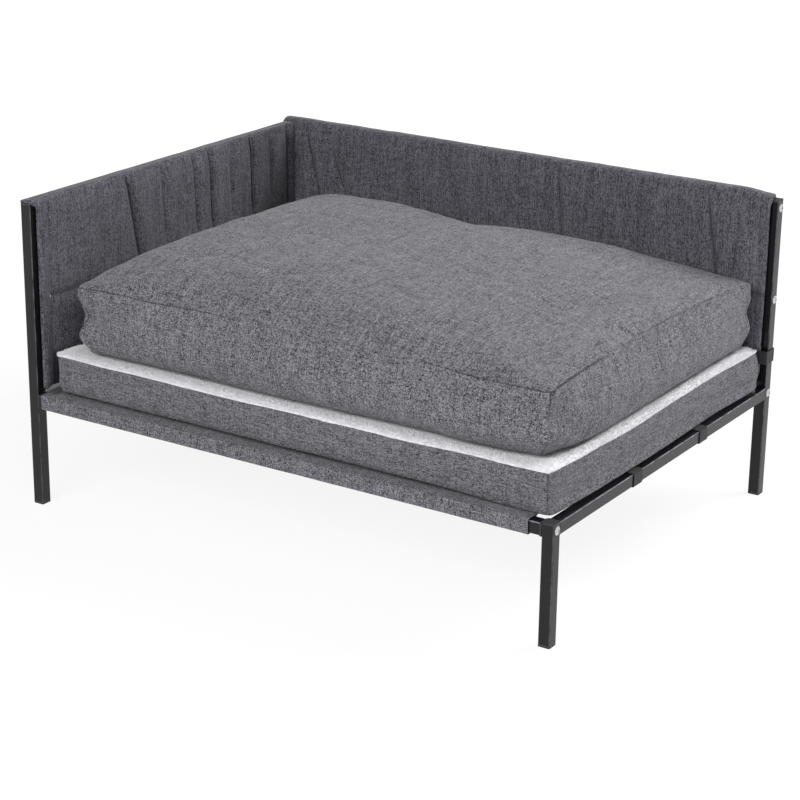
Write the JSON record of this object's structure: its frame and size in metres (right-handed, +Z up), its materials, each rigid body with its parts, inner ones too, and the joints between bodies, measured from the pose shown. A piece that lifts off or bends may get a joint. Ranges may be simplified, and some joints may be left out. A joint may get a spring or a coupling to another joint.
{
  "type": "dog bed with frame",
  "caption": "Raised dog bed on a square-tube frame, with padded side and back panels, a fabric sling, a mattress and a boxed cushion; open at the front and one side.",
  "frame": {"origin": "on the floor, under the middle of the frame", "axes": "+X along the bed to its open right side, seen from the front; +Y from the open front to the back panel; +Z up"},
  "size_m": [1.007, 0.7556, 0.535],
  "materials": {
    "frame_steel": "satin black powder coat",
    "black_plastic": "matte moulded plastic",
    "zinc": "bright zinc plate",
    "linen": "heathered grey linen weave",
    "webbing": "black polyester webbing",
    "wadding": "white polyester wadding",
    "foam": "open-cell foam",
    "plush": "short white plush pile",
    "zip_tape": "woven zip tape with a closed coil"
  },
  "bodies": {
    "frame": {"left_front_post": "frame_steel", "left_rear_post": "frame_steel", "right_rear_post": "frame_steel", "right_front_leg": "frame_steel", "left_lower_rail": "frame_steel", "left_mid_rail": "frame_steel", "left_top_rail": "frame_steel", "right_lower_rail": "frame_steel", "front_rail": "frame_steel", "back_lower_rail": "frame_steel", "back_mid_rail": "frame_steel", "back_top_rail": "frame_steel", "post_caps": "black_plastic", "foot_plugs": "black_plastic", "rail_end_plugs": "black_plastic", "captive_nuts": "zinc", "frame_screws": "zinc", "base_sling": "linen", "left_sling_straps": "webbing", "right_sling_straps": "webbing", "side_panel_cover": "linen", "side_panel_batting": "wadding", "back_panel_cover": "linen", "back_panel_batting": "wadding", "panel_strap": "webbing"},
    "mattress": {"mattress_cover": "linen", "mattress_core": "foam", "mattress_plush_top": "plush", "mattress_zip": "zip_tape"},
    "cushion": {"cushion_cover": "linen", "cushion_filling": "wadding", "cushion_zip": "zip_tape"}
  },
  "joints": [
    {"name": "mattress_lift", "type": "slide", "parent": "frame", "child": "mattress", "axis": [0, 0, 1], "range_m": [0, 0.36]},
    {"name": "cushion_lift", "type": "slide", "parent": "mattress", "child": "cushion", "axis": [0, 0, 1], "range_m": [0, 0.3]}
  ]
}
